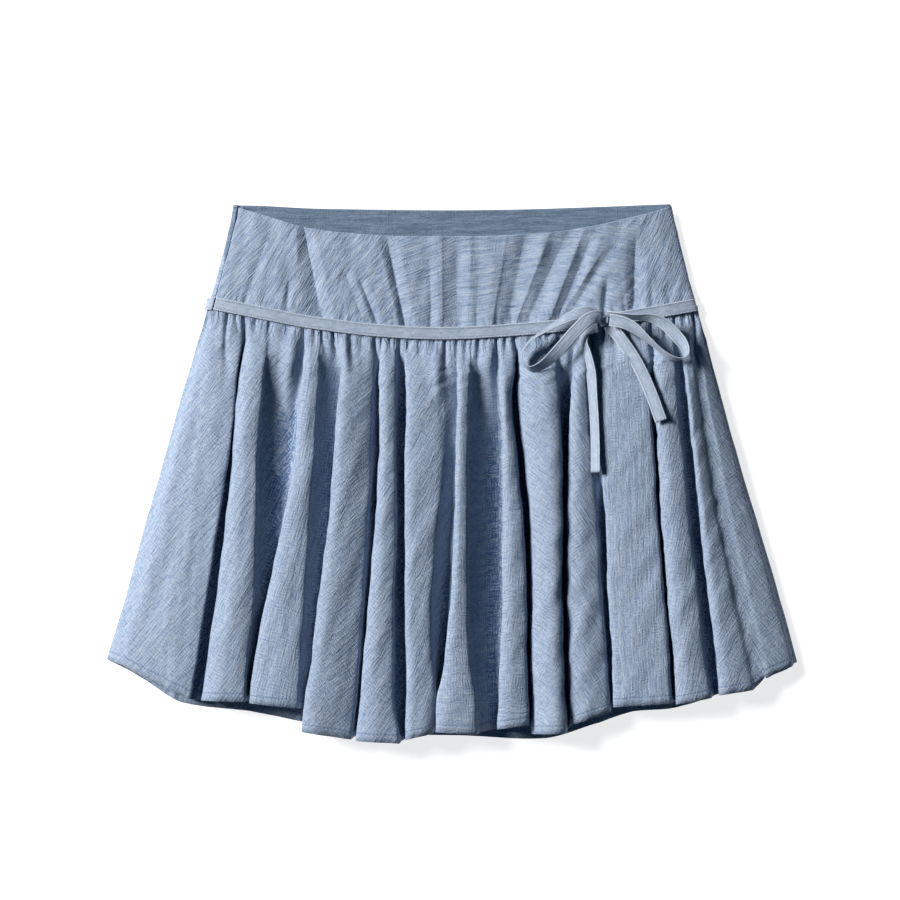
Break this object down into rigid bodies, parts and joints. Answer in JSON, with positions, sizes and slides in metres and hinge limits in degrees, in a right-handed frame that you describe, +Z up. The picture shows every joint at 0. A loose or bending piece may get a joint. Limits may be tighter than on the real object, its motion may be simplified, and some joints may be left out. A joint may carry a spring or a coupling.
{
  "type": "mini skirt",
  "caption": "Mini skirt laid flat: dipped yoke, very full gathered tier in soft folds, flat ribbon over the seam with a tied bow, closed side zip.",
  "frame": {"origin": "centre of the laid skirt's outline, on the surface that it lies on", "axes": "+X across the skirt toward the side with the bow, +Y up the skirt toward the waist, +Z up off the surface, out of the front"},
  "size_m": [0.5352, 0.4168, 0.0323],
  "materials": {
    "crepe": "matt crinkled cotton weave, dusty blue",
    "ribbon": "smooth flat ribbon with a soft sheen, pale grey blue",
    "zip_tape": "matt woven zip tape, blue"
  },
  "bodies": {
    "root": {"yoke_front": "crepe", "yoke_back": "crepe", "skirt_front": "crepe", "skirt_back": "crepe", "ribbon_front": "ribbon", "ribbon_back": "ribbon", "side_zip": "zip_tape", "bow_knot": "ribbon", "bow_loop_left": "ribbon", "bow_loop_right": "ribbon", "bow_tail_left": "ribbon", "bow_tail_right": "ribbon"}
  },
  "joints": []
}
